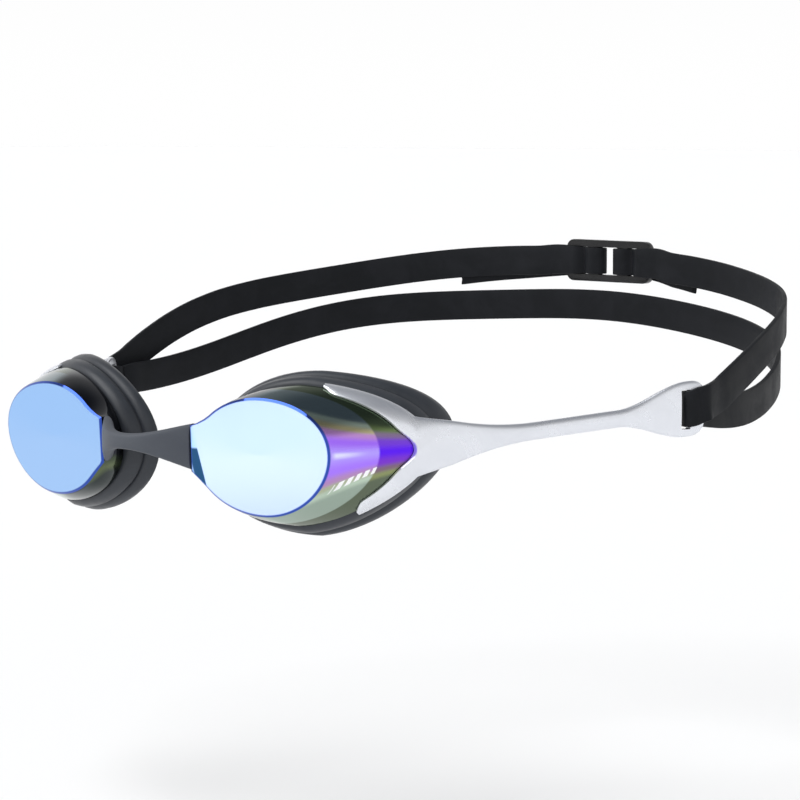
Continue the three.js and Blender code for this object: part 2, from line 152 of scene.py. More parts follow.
BAR_MIDDLE = arm_point(ARM_LENGTH - END_BAR / 2)
BAR_SIDE = ARM_THICK / 2 + STRAP_GAP + STRAP_T / 2
BAR_DROP = RIGHT_DROP * (1 - END_BAR / 2 / ARM_LENGTH) ** 2
LOOP_R = (LOOP_DEPTH ** 2 + BAR_MIDDLE.x ** 2) / (2 * LOOP_DEPTH)
LOOP_Y = BAR_MIDDLE.y + LOOP_DEPTH - LOOP_R
FIRST_ANGLE = math.atan2(BAR_MIDDLE.y - LOOP_Y, BAR_MIDDLE.x)
LOOP_LENGTH = LOOP_R * (math.pi - 2 * FIRST_ANGLE)
SLOT_S = ARM_LENGTH - END_BAR - STRAP_GAP - STRAP_T / 2


def loop_point(u, out, band):
    """A point of a strap run; u goes from 0 at the left arm to 1 at the right arm."""
    wave, bulge = band
    q = math.pi * u
    near = min(q, math.pi - q)
    side = out * (1 - smooth(near, 0.35, 0.85))
    r = LOOP_R + side + bulge * math.sin(2 * near) ** 2
    a = FIRST_ANGLE + u * (math.pi - 2 * FIRST_ANGLE)
    z = BAR_MIDDLE.z - BAR_DROP * u
    z += sum(c * math.sin((k + 1) * q) for k, c in enumerate(wave))
    return Vector((r * math.cos(a), LOOP_Y + r * math.sin(a), z))


# ---------------------------------------------------------------- modelling helpers
def deselect():
    if bpy.context.object and bpy.context.object.mode != "OBJECT":
        bpy.ops.object.mode_set(mode="OBJECT")
    bpy.ops.object.select_all(action="DESELECT")


def pick(piece):
    deselect()
    piece.select_set(True)
    bpy.context.view_layer.objects.active = piece
    return piece


def apply_modifier(piece, kind, **settings):
    pick(piece)
    m = piece.modifiers.new(kind.lower(), kind)
    for key, value in settings.items():
        setattr(m, key, value)
    bpy.ops.object.modifier_apply(modifier=m.name)
    return piece


def face_outwards(piece):
    pick(piece)
    bpy.ops.object.mode_set(mode="EDIT")
    bpy.ops.mesh.select_all(action="SELECT")
    bpy.ops.mesh.remove_doubles(threshold=1e-6)
    bpy.ops.mesh.normals_make_consistent(inside=False)
    bpy.ops.object.mode_set(mode="OBJECT")
    return piece


def soften(piece, degrees):
    pick(piece)
    bpy.ops.object.shade_smooth_by_angle(angle=math.radians(degrees))
    return piece


def drawn_through(name, rings, ends="fan"):
    """A ring of edges, extruded and moved from one outline to the next, then closed."""
    deselect()
    bpy.ops.mesh.primitive_circle_add(vertices=len(rings[0]), radius=MM)
    piece = bpy.context.object
    piece.name = piece.data.name = name
    bpy.ops.object.mode_set(mode="EDIT")
    mesh = bmesh.from_edit_mesh(piece.data)
    mesh.verts.ensure_lookup_table()
    row = list(mesh.verts)
    for v, p in zip(row, rings[0]):
        v.co = p * MM
    bpy.ops.mesh.select_all(action="SELECT")
    for ring in rings[1:]:
        bpy.ops.mesh.extrude_edges_move()
        mesh = bmesh.from_edit_mesh(piece.data)
        fresh = {}
        for v in mesh.verts:
            if v.select:
                old = next(e.other_vert(v) for e in v.link_edges if not e.other_vert(v).select)
                fresh[old.index] = v
        row = [fresh[v.index] for v in row]
        mesh.verts.index_update()
        for v, p in zip(row, ring):
            v.co = p * MM
    bmesh.update_edit_mesh(piece.data)
    if ends == "joined":
        bpy.ops.mesh.select_all(action="DESELECT")
        bpy.ops.mesh.select_non_manifold(extend=False)
        bpy.ops.mesh.bridge_edge_loops()
    elif ends == "fan":
        bpy.ops.mesh.select_all(action="DESELECT")
        bpy.ops.mesh.select_non_manifold(extend=False)
        bpy.ops.mesh.edge_face_add()
    bpy.ops.object.mode_set(mode="OBJECT")
    return piece


def mirrored_copy(piece, name):
    """The same piece for the wearer's right side, with its own mesh."""
    pick(piece)
    bpy.ops.object.duplicate()
    twin = bpy.context.object
    twin.name = twin.data.name = name
    bpy.ops.object.mode_set(mode="EDIT")
    bpy.ops.mesh.select_all(action="SELECT")
    bpy.ops.transform.resize(value=(-1, 1, 1), center_override=(0, 0, 0))
    bpy.ops.mesh.flip_normals()
    bpy.ops.object.mode_set(mode="OBJECT")
    return twin


def mark_rings(piece, rings, values):
    """Stores, at every point, how deep it lies behind the face and its place round the cup."""
    depth = piece.data.attributes.new("depth", "FLOAT", "POINT")
    around = piece.data.attributes.new("around", "FLOAT_VECTOR", "POINT")
    count = len(rings[0])
    for r, value in enumerate(values):
        for j in range(count):
            t = 2 * math.pi * j / count
            depth.data[r * count + j].value = value
            around.data[r * count + j].vector = (math.cos(t), math.sin(t), 0)


# ---------------------------------------------------------------- cups
AROUND = 96


def ring(curve, inset=0.0, back=0.0):
    return [curve(360 * j / AROUND, inset, back) for j in range(AROUND)]


def between(first, last, share):
    return [a.lerp(b, share) for a, b in zip(first, last)]


def swollen(points, amount):
    """An outline pushed out from its own middle by a set amount."""
    middle = sum(points, Vector()) / len(points)
    return [p + (p - middle).normalized() * amount for p in points]


def cup_shell():
    front, rim = ring(face_point, 0.45), ring(face_point, 0, 0.4)
    middle = sum(front, Vector()) / AROUND
    rear = ring(cup_point)
    rings = [
        [middle.lerp(p, 0.03) for p in front],
        [middle.lerp(p, 0.5) for p in front],
        [middle.lerp(p, 0.96) for p in front],
        front,
        between(front, rim, 0.6),
        rim,
        swollen(between(rim, rear, 0.08), 0.08),
        swollen(between(rim, rear, 0.3), 0.25),
        swollen(between(rim, rear, 0.6), 0.3),
        swollen(between(rim, rear, 0.85), 0.15),
        rear,
        ring(cup_point, 0.5, 0.25),
        ring(cup_point, 1.4, 0),
        between(ring(face_point, 1.6, 2.0), ring(cup_point, 1.5), 0.5),
        ring(face_point, 1.6, 2.0),
        [middle.lerp(p, 0.5) - FACE_NORMAL * 1.0 for p in ring(face_point, 1.6, 1.0)],
        [middle.lerp(p, 0.03) - FACE_NORMAL * 1.9 for p in ring(face_point, 1.6, 0)],
    ]
    piece = drawn_through("cup_left", rings)
    mark_rings(piece, rings, [
        0, 0, 0, 0.02, 0.05, 0.08, 0.15, 0.35, 0.65, 0.88, 1, 1.1, 1.2, 1.5, 1.8, 2, 2])
    return soften(face_outwards(piece), 28)


def soft_seal():
    rim, flange = ring(cup_point, -0.05, 0.25), ring(seal_point)
    rings = [
        rim,
        swollen(between(rim, flange, 0.06), 0.55),
        swollen(between(rim, flange, 0.2), 0.8),
        swollen(between(rim, flange, 0.4), 0.75),
        swollen(between(rim, flange, 0.5), 0.35),
        swollen(between(rim, flange, 0.54), -0.35),
        swollen(between(rim, flange, 0.58), -0.4),
        swollen(between(rim, flange, 0.62), 0.3),
        swollen(between(rim, flange, 0.72), 0.6),
        swollen(between(rim, flange, 0.88), 0.5),
        swollen(flange, 0.1),
        ring(seal_point, 0.5, 0.7),
        ring(seal_point, 1.6, 1.0),
        ring(seal_point, 3.2, 0.7),
        ring(seal_point, 4.6, -0.2),
        ring(seal_point, 5.0, -1.4),
        swollen(between(rim, flange, 0.4), -3.2),
        swollen(between(rim, flange, 0.15), -2.2),
        ring(cup_point, 1.75, 0.35),
    ]
    piece = drawn_through("seal_left", rings, "joined")
    return soften(face_outwards(piece), 50)


def nose_bar():
    top = face_point(180)
    half = top.x - 0.3
    rings = []
    for i in range(49):
        u = -1 + i / 24
        out = abs(u)
        y = top.y - BRIDGE_BOW * (1 - out ** 2) + 0.05
        h = BRIDGE_MID_HALF_H + (NECK_HALF_H - BRIDGE_MID_HALF_H - 0.05) * out ** 2.2
        slope = math.atan2(2 * BRIDGE_BOW * u, half) * (1 - out ** 8)
        section = []
        for j in range(24):
            t = 2 * math.pi * j / 24
            c, s = (math.copysign(abs(v) ** 0.6, v) for v in (math.cos(t), math.sin(t)))
            d = BRIDGE_THICK / 2 * (1 + c)
            section.append(Vector((
                half * u - d * math.sin(slope), y + d * math.cos(slope), -(out ** 2) + h * s)))
        rings.append(section)
    return soften(face_outwards(drawn_through("nose_bar", rings)), 40)


# ---------------------------------------------------------------- arms
def arm_bar(drop):
    """The strut; its root bows round the cup's temple end."""
    rings = []
    for i in range(73):
        s = mix(-0.8, ARM_LENGTH - 0.05, (i / 72) ** 0.85)
        root = 1 - min(max(s, 0), ROOT_LENGTH) / ROOT_LENGTH
        end = ARM_LENGTH - PADDLE_ROUND
        flare = (PADDLE_HALF_H - ARM_HALF_H) * smooth(s, PADDLE_START, end)
        tip = max(0, (s - end) / PADDLE_ROUND)
        h = (ARM_HALF_H + ROOT_FLARE * root ** 2 + flare) * (1 - tip ** 3) ** (1 / 3)
        t = ARM_THICK / 2 * (1 - 0.3 * tip ** 2) * (0.66 + 0.34 * smooth(s, 0, 9))
        power = 0.8 + 0.2 * smooth(s, 14, 26) - 0.3 * smooth(s, PADDLE_START, end)
        section = []
        for j in range(40):
            a = 2 * math.pi * j / 40
            c, v = (math.copysign(abs(w) ** power, w) for w in (math.cos(a), math.sin(a)))
            bow = v * v * (1 - smooth(s, -0.8, 9))
            section.append(arm_point(s - 3.4 * bow, t * c - 2 * bow, h * v, drop))
        rings.append(section)
    return face_outwards(drawn_through("arm_bar", rings))


def arm_fork():
    rings = []
    for i in range(61):
        angle = mix(-FORK_BOTTOM, FORK_TOP, i / 60)
        rim = cup_point(angle)
        along = (cup_point(angle + 1) - cup_point(angle - 1)).normalized()
        wall = (rim - face_point(angle)).normalized()
        out = wall.cross(along).normalized()
        across = along.cross(out).normalized()
        tip = abs(angle) / (FORK_TOP if angle > 0 else FORK_BOTTOM)
        slim = 0.3 + 0.7 * smooth(abs(angle), 0, 30)
        front = slim * FORK_WIDTH * (1 - 0.25 * tip) * (1 - smooth(tip, 0.9, 1.03))
        rear = 1.2 + 2.2 * (1 - tip) ** 2
        thick = FORK_THICK * (1 - 0.65 * tip)
        rings.append([rim + across * w + out * (0.2 + n) for w, n in (
            (-front, 0.0), (-front, thick * 0.5), (-front * 0.8, thick * 0.85), (0, thick),
            (rear * 0.6, thick * 0.95), (rear, thick * 0.6), (rear, 0.2), (0, 0))])
    return face_outwards(drawn_through("arm_fork", rings))


def fork_arm(name, drop):
    bar, fork = arm_bar(drop), arm_fork()
    apply_modifier(bar, "BOOLEAN", object=fork, operation="UNION", solver="EXACT")
    bpy.data.objects.remove(fork)
    deselect()
    bpy.ops.mesh.primitive_cube_add(size=1)
    slot = bpy.context.object
    middle = arm_point(SLOT_S - STRAP_GAP, 0, 0, drop)
    half = (STRAP_T / 2 + 2 * STRAP_GAP, 2 * ARM_THICK, STRAP_W / 2 + 0.5)
    turn = Matrix((ARM_ALONG, ARM_OUT, UP)).transposed()
    for v in slot.data.vertices:
        v.co = (middle + turn @ Vector([2 * c * h for c, h in zip(v.co, half)])) * MM
    apply_modifier(slot, "BEVEL", width=0.45 * MM, segments=3)
    face_outwards(slot)
    apply_modifier(bar, "BOOLEAN", object=slot, operation="DIFFERENCE", solver="EXACT")
    bpy.data.objects.remove(slot)
    bar.name = bar.data.name = name
    return soften(bar, 50)


# ---------------------------------------------------------------- strap
def along_curve(points, step):
    """Evenly spaced stations on a smooth curve through the points, and which span each is on."""
    out = []
    count = len(points)
    for i in range(count - 1):
        p0, p1, p2, p3 = (points[min(max(k, 0), count - 1)] for k in (i - 1, i, i + 1, i + 2))
        pieces = max(1, round((p2 - p1).length / step))
        for k in range(pieces):
            t = k / pieces
            m1, m2 = (p2 - p0) * 0.5, (p3 - p1) * 0.5
            out.append((i, p1 * (2 * t ** 3 - 3 * t ** 2 + 1) + m1 * (t ** 3 - 2 * t ** 2 + t)
                        + p2 * (3 * t ** 2 - 2 * t ** 3) + m2 * (t ** 3 - t ** 2)))
    return out + [(count - 1, points[-1])]


def strap_piece(name, points, step, trim=(0, 0), skew=0.0, pinch=False):
    """A flat band: one edge is extruded along the path, then given its thickness.

    trim drops the first spans, which only steer the band where it meets its neighbour. The far
    end keeps its last span, so there the band runs on past the joint.
    """
    path = along_curve(points, step)
    rows = []
    for i, (span, p) in enumerate(path):
        if span < trim[0] or (trim[1] and span >= len(points) - trim[1]):
            continue
        along = (path[min(i + 1, len(path) - 1)][1] - path[max(i - 1, 0)][1]).normalized()
        flat = Vector((along.y, -along.x, 0)).normalized()
        up = along.cross(flat).normalized()
        up = -up if up.z < 0 else up
        slide = along * skew if i == len(path) - 1 else Vector()
        wide = STRAP_W / 2
        if pinch:
            wide *= 1 - 0.13 * (1 - smooth(abs((p - BUCKLE_MIDDLE).dot(BUCKLE_ALONG)), 7, 15))
        rows.append([p + (up * wide + slide) * k for k in (-1, -1 / 3, 1 / 3, 1)])
    deselect()
    bpy.ops.mesh.primitive_plane_add(size=MM)
    piece = bpy.context.object
    piece.name = piece.data.name = name
    bpy.ops.object.mode_set(mode="EDIT")
    bpy.ops.mesh.select_all(action="SELECT")
    bpy.ops.mesh.delete(type="VERT")
    mesh = bmesh.from_edit_mesh(piece.data)
    row = [mesh.verts.new(p * MM) for p in rows[0]]
    for a, b in zip(row, row[1:]):
        mesh.edges.new((a, b))
    bmesh.update_edit_mesh(piece.data)
    bpy.ops.mesh.select_all(action="SELECT")
    for stations in rows[1:]:
        bpy.ops.mesh.extrude_edges_move()
        mesh = bmesh.from_edit_mesh(piece.data)
        fresh = {}
        for v in mesh.verts:
            if v.select:
                fresh[next(e.other_vert(v) for e in v.link_edges if not e.other_vert(v).select)] = v
        row = [fresh[v] for v in row]
        for v, p in zip(row, stations):
            v.co = p * MM
    bmesh.update_edit_mesh(piece.data)
    bpy.ops.object.mode_set(mode="OBJECT")
    apply_modifier(piece, "SOLIDIFY", thickness=STRAP_T * MM, offset=0)
    face_outwards(piece)
    joined = [(sum(rows[k], Vector()) / 4 * MM, (rows[k][0] - rows[m][0]).normalized())
              for k, m, used in ((0, 1, trim[0]), (-1, -2, trim[1])) if used]
    round_corners(piece, joined)
    return soften(piece, 40)


def round_corners(piece, joined):
    """Rounds the band's corners, but leaves the ends that meet a neighbour square."""
    def meets(face):
        return any((face.calc_center_median() - middle).length < STRAP_W * MM
                   and abs(face.normal.dot(along)) > 0.9 for middle, along in joined)

    pick(piece)
    bpy.ops.object.mode_set(mode="EDIT")
    bpy.ops.mesh.select_mode(type="EDGE")
    bpy.ops.mesh.select_all(action="DESELECT")
    mesh = bmesh.from_edit_mesh(piece.data)
    for e in mesh.edges:
        if e.calc_face_angle(0) > math.radians(50) and not any(meets(f) for f in e.link_faces):
            e.select_set(True)
    bmesh.update_edit_mesh(piece.data)
    bpy.ops.mesh.bevel(offset=0.22 * MM, segments=2)
    bpy.ops.mesh.select_mode(type="VERT")
    bpy.ops.object.mode_set(mode="OBJECT")


LEAD = 0.145
CROWN_S = 52


def strap_lead(name, side):
    drop = 0 if side > 0 else RIGHT_DROP
    bend = BAR_SIDE - 0.9

    def own(s, out, turn=0.0):
        p = arm_point(s, out, (0.25 if turn > 0 else 0.1) * turn * (s - SLOT_S), drop)
        return Vector((side * p.x, p.y, p.z))

    def corner(out):
        return [own(ARM_LENGTH - 0.3, out * BAR_SIDE, out),
                own(ARM_LENGTH - 2.2, out * BAR_SIDE, out),
                own(SLOT_S + 0.95, out * (BAR_SIDE - 0.05), out),
                own(SLOT_S + 0.2, out * (bend + 0.25)), own(SLOT_S, out * (bend - 0.4))]

    def leg(out, band):
        return [loop_point(u if side > 0 else 1 - u, out * BAR_SIDE, band)
                for u in (LEAD + 0.02, LEAD, LEAD - 0.02, 0.1, 0.075, 0.052, 0.034, 0.02)]

    points = leg(1, UPPER) + corner(1) + corner(-1)[::-1] + leg(-1, LOWER)[::-1]
    return strap_piece(name, points, 0.5, trim=(1, 1))


BUCKLE_HALF = BUCKLE_WINDOW / 2 + STRAP_T + STRAP_GAP + BUCKLE_BAR + BUCKLE_SLOT + BUCKLE_END
BAR_IN = BUCKLE_WINDOW / 2 + STRAP_T + STRAP_GAP
BAND_SIDE = BUCKLE_T / 2 + STRAP_GAP + STRAP_T / 2
BUCKLE_U = 0.5 + BUCKLE_OFFSET / LOOP_LENGTH
BUCKLE_MIDDLE = loop_point(BUCKLE_U, 0, UPPER)
BUCKLE_ALONG = (
    loop_point(BUCKLE_U - 0.01, 0, UPPER) - loop_point(BUCKLE_U + 0.01, 0, UPPER)).normalized()
BUCKLE_OUT = Vector((-BUCKLE_ALONG.y, BUCKLE_ALONG.x, 0)).normalized()
BUCKLE_UP = BUCKLE_ALONG.cross(BUCKLE_OUT)


def buckle_point(s, out=0.0, up=0.0):
    return BUCKLE_MIDDLE + BUCKLE_ALONG * s + BUCKLE_OUT * out + BUCKLE_UP * up


def strap_crown(name, side):
    start = LEAD if side > 0 else 1 - LEAD
    stop = BUCKLE_U - side * CROWN_S / LOOP_LENGTH
    step = 6 / LOOP_LENGTH * side
    stations = [start - 0.02 * side, start, start + 0.02 * side]
    stations += [mix(start + 0.02 * side, stop - step, i / 16) for i in range(1, 17)]
    stations += [stop, stop + step]
    return strap_piece(name, [loop_point(u, BAR_SIDE, UPPER) for u in stations], 1.2, trim=(1, 1))


def strap_wrap(name, side):
    tail, start = (TAIL_LEFT, 0.9) if side > 0 else (TAIL_RIGHT, 0.4)

    def share(s):
        return BUCKLE_U - side * s / LOOP_LENGTH

    def at(s, out, drop=0.0):
        return buckle_point(side * s, out, -drop)

    def drape(s):
        p = loop_point(share(s), 0, UPPER) + BUCKLE_OUT * 1.6
        p.z -= start + (TAIL_DROP - start + TAIL_SAG) * (s - BUCKLE_HALF) / tail
        return p

    def strand(s):
        return loop_point(share(s), 0, UPPER) - BUCKLE_OUT * BAND_SIDE * (1 - smooth(s, 17, 42))

    bar_out = BAR_IN + BUCKLE_BAR
    points = [strand(s) for s in (CROWN_S + 6, CROWN_S, CROWN_S - 6, 40, 34, 28, 22)]
    points += [at(BUCKLE_HALF + s, -BAND_SIDE + out) for s, out in ((3, 0), (-2, 0), (-3.8, 0.15))]
    points += [at(bar_out + s, -BAND_SIDE + out) for s, out in (
        (2.1, 1.7), (0.75, 1.1), (-0.1, 0.25), (-BUCKLE_BAR / 2, -0.1))]
    points += [at(BAR_IN + s, out) for s, out in (
        (0.1, 0.15 - BAND_SIDE), (-1.15, 0.8 - BAND_SIDE), (-1.7, 0), (-1.15, BAND_SIDE - 0.8),
        (0.1, BAND_SIDE - 0.1), (BUCKLE_BAR, BAND_SIDE))]
    points += [at(BUCKLE_HALF + 0.5, BAND_SIDE, start)]
    points += [drape(BUCKLE_HALF + k * tail) for k in (0.45, 0.63, 0.81, 1)]
    return strap_piece(name, points, 0.5, trim=(1, 0), skew=1.3, pinch=True)


def strap_lower_run():
    middle = [mix(LEAD + 0.02, 0.98 - LEAD, i / 50) for i in range(51)]
    stations = [LEAD - 0.02, LEAD, *middle, 1 - LEAD, 1.02 - LEAD]
    return strap_piece("strap_lower_run", [
        loop_point(u, -BAR_SIDE, LOWER) for u in stations], 1.2, trim=(1, 1))


# ---------------------------------------------------------------- buckle
def slide_buckle():
    turn = Matrix((BUCKLE_ALONG, BUCKLE_OUT, BUCKLE_UP)).transposed()
    half_h = STRAP_W / 2 + 0.2 + BUCKLE_RAIL

    def bar(low, high, corner):
        deselect()
        bpy.ops.mesh.primitive_cube_add(size=2)
        piece = bpy.context.object
        half = [(h - l) / 2 for l, h in zip(low, high)]
        middle = [(h + l) / 2 for l, h in zip(low, high)]
        for v in piece.data.vertices:
            v.co = [(m + c * h) * MM for c, h, m in zip(v.co, half, middle)]
        bpy.ops.object.mode_set(mode="EDIT")
        bpy.ops.mesh.select_mode(type="EDGE")
        bpy.ops.mesh.select_all(action="DESELECT")
        mesh = bmesh.from_edit_mesh(piece.data)
        for e in mesh.edges:
            d = e.verts[0].co - e.verts[1].co
            e.select_set(abs(d.y) > abs(d.x) + abs(d.z))
        bmesh.update_edit_mesh(piece.data)
        bpy.ops.mesh.bevel(offset=corner * MM, segments=8)
        bpy.ops.mesh.select_mode(type="VERT")
        bpy.ops.object.mode_set(mode="OBJECT")
        return piece

    t = BUCKLE_T / 2
    body = bar((-BUCKLE_HALF, -t, -half_h), (BUCKLE_HALF, t, half_h), 2.4)
    inner = BAR_IN + BUCKLE_BAR
    for low, high in ((-BAR_IN, BAR_IN), (inner, BUCKLE_HALF - BUCKLE_END),
                      (BUCKLE_END - BUCKLE_HALF, -inner)):
        tall = STRAP_W / 2 - 0.3
        gap = bar((low, -2 * t, -tall), (high, 2 * t, tall), 1)
        apply_modifier(body, "BOOLEAN", object=gap, operation="DIFFERENCE", solver="EXACT")
        bpy.data.objects.remove(gap)
    apply_modifier(body, "BEVEL", width=0.5 * MM, segments=4, limit_method="ANGLE",
                   angle_limit=math.radians(50))
    for v in body.data.vertices:
        v.co = BUCKLE_MIDDLE * MM + turn @ v.co
    body.name = body.data.name = "slide_buckle"
    return soften(face_outwards(body), 40)


# ---------------------------------------------------------------- node helpers
def node_tree(name, roughness, metallic=0.0, coat=0.0):
    material = bpy.data.materials.new(name)
    material.use_nodes = True
    shader = material.node_tree.nodes["Principled BSDF"]
    shader.inputs["Roughness"].default_value = roughness
    shader.inputs["Metallic"].default_value = metallic
    shader.inputs["Coat Weight"].default_value = coat
    shader.inputs["Coat Roughness"].default_value = 0.06
    return material, material.node_tree, shader


def add_node(tree, kind, **inputs):
    node = tree.nodes.new(kind)
    for key, value in inputs.items():
        node.inputs[key.replace("_", " ")].default_value = value
    return node


def math_node(tree, operation, *values):
    node = tree.nodes.new("ShaderNodeMath")
    node.operation = operation
    for socket, value in zip(node.inputs, values):
        if isinstance(value, (int, float)):
            socket.default_value = value
        else:
            tree.links.new(value, socket)
    return node.outputs[0]


def ramp(tree, factor, stops):
    node = tree.nodes.new("ShaderNodeValToRGB")
    node.color_ramp.interpolation = "EASE"
    points = node.color_ramp.elements
    while len(points) < len(stops):
        points.new(0.5)
    for point, (place, colour) in zip(points, stops):
        point.position = place
        point.color = (*colour, 1)
    tree.links.new(factor, node.inputs[0])
    return node.outputs[0]


def blend_colours(tree, factor, a, b):
    node = tree.nodes.new("ShaderNodeMix")
    node.data_type = "RGBA"
    for socket, value in ((node.inputs[0], factor), (node.inputs[6], a), (node.inputs[7], b)):
        if hasattr(value, "is_linked") or hasattr(value, "node"):
            tree.links.new(value, socket)
        elif isinstance(value, tuple):
            socket.default_value = (*value, 1)
        else:
            socket.default_value = value
    return node.outputs[2]


def object_place(tree, scale=1.0):
    place = tree.nodes.new("ShaderNodeTexCoord")
    mapping = tree.nodes.new("ShaderNodeMapping")
    mapping.inputs["Scale"].default_value = (scale,) * 3
    tree.links.new(place.outputs["Object"], mapping.inputs["Vector"])
    return mapping.outputs["Vector"]


def moulded_surface():
    """Fine moulding grain and faint handling marks, as a height and a mask."""
    group = bpy.data.node_groups.new("moulded_surface", "ShaderNodeTree")
    face = group.interface
    face.new_socket("Place", in_out="INPUT", socket_type="NodeSocketVector")
    face.new_socket("Grain Size", in_out="INPUT", socket_type="NodeSocketFloat")
    face.new_socket("Mark Size", in_out="INPUT", socket_type="NodeSocketFloat")
    face.new_socket("Height", in_out="OUTPUT", socket_type="NodeSocketFloat")
    face.new_socket("Marks", in_out="OUTPUT", socket_type="NodeSocketFloat")
    start = group.nodes.new("NodeGroupInput")
    end = group.nodes.new("NodeGroupOutput")
    grain = add_node(group, "ShaderNodeTexNoise", Detail=3, Roughness=0.6)
    marks = add_node(group, "ShaderNodeTexNoise", Detail=5, Roughness=0.65, Distortion=0.6)
    for node, size in ((grain, 1), (marks, 2)):
        group.links.new(start.outputs[0], node.inputs["Vector"])
        group.links.new(start.outputs[size], node.inputs["Scale"])
    group.links.new(grain.outputs[0], end.inputs["Height"])
    group.links.new(
        ramp(group, marks.outputs[0], [(0.35, (0,) * 3), (0.7, (1,) * 3)]), end.inputs["Marks"])
    return group


SURFACE = moulded_surface()


def use_surface(tree, shader, grain, marks, strength, distance, rough=(0.4, 0.5)):
    """Places the shared surface in a material: bump from its height, roughness from its marks."""
    node = tree.nodes.new("ShaderNodeGroup")
    node.node_tree = SURFACE
    node.inputs["Grain Size"].default_value = grain
    node.inputs["Mark Size"].default_value = marks
    tree.links.new(object_place(tree), node.inputs["Place"])
    bump = tree.nodes.new("ShaderNodeBump")
    bump.inputs["Strength"].default_value = strength
    bump.inputs["Distance"].default_value = distance
    tree.links.new(node.outputs["Height"], bump.inputs["Height"])
    tree.links.new(bump.outputs[0], shader.inputs["Normal"])
    spread = add_node(tree, "ShaderNodeMapRange")
    spread.inputs[3].default_value, spread.inputs[4].default_value = rough
    tree.links.new(node.outputs["Marks"], spread.inputs[0])
    tree.links.new(spread.outputs[0], shader.inputs["Roughness"])
    return node


